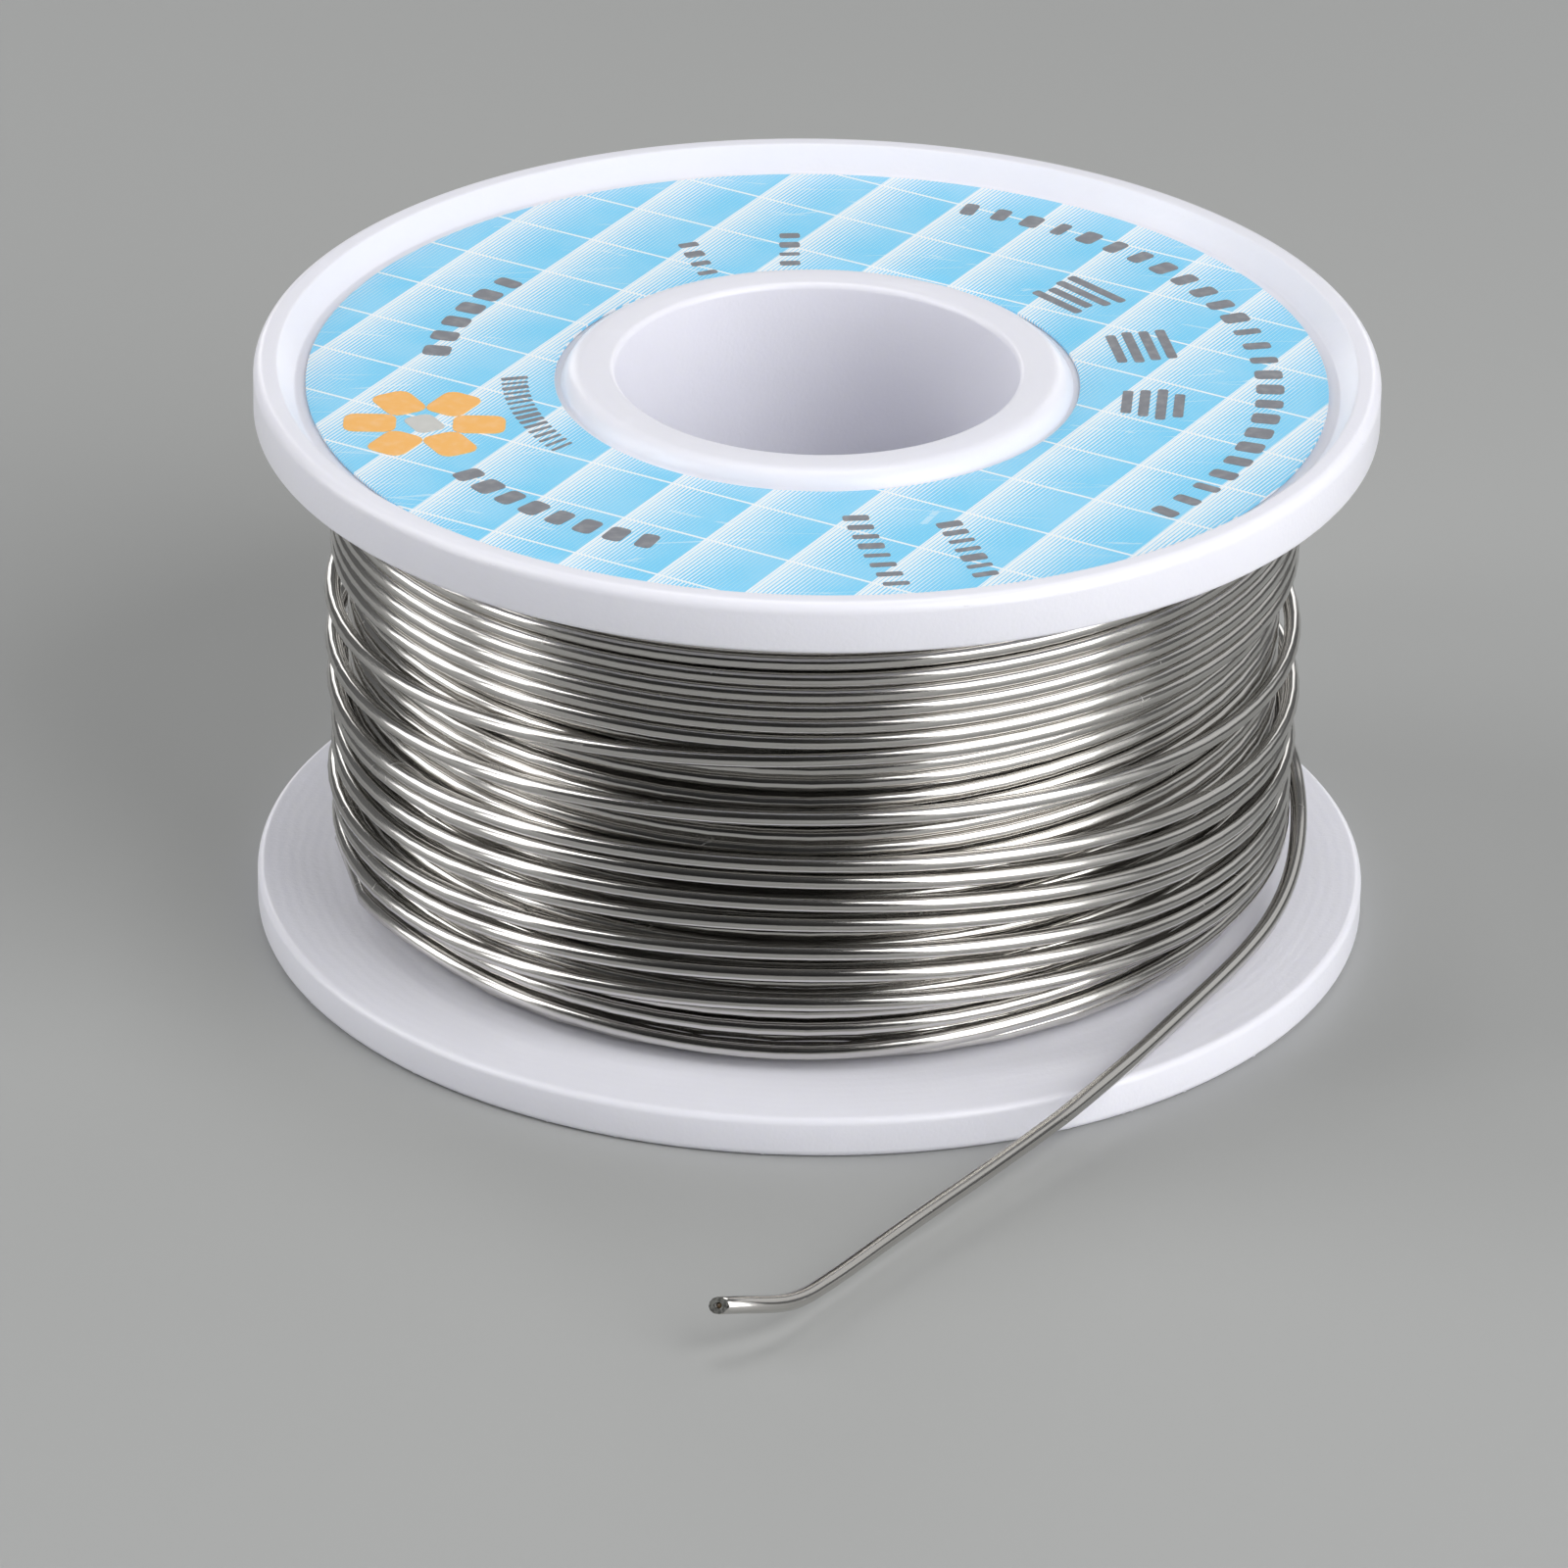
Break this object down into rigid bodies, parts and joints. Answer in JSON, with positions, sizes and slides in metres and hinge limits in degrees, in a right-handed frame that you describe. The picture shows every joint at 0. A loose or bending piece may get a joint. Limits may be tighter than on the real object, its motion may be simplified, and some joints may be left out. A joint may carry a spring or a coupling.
{
  "type": "solder wire spool",
  "caption": "Small white plastic reel wound full of thin flux-cored solder wire, with a round printed label and a free wire end.",
  "frame": {"origin": "centre of the lower rim's resting face, on the axis of the bore", "axes": "+Z along the bore axis towards the labelled flange; the free wire end leaves towards -Y, which is the front"},
  "size_m": [0.054, 0.0733, 0.0288],
  "materials": {
    "reel_plastic": "satin, slightly translucent bluish-white moulding",
    "label_print": "sky-blue print with a white grid, satin varnish",
    "solder": "bright drawn tin-lead wire"
  },
  "bodies": {
    "root": {"spool_body": "reel_plastic", "top_label": "label_print", "solder_winding": "solder", "solder_free_end": "solder"}
  },
  "joints": []
}
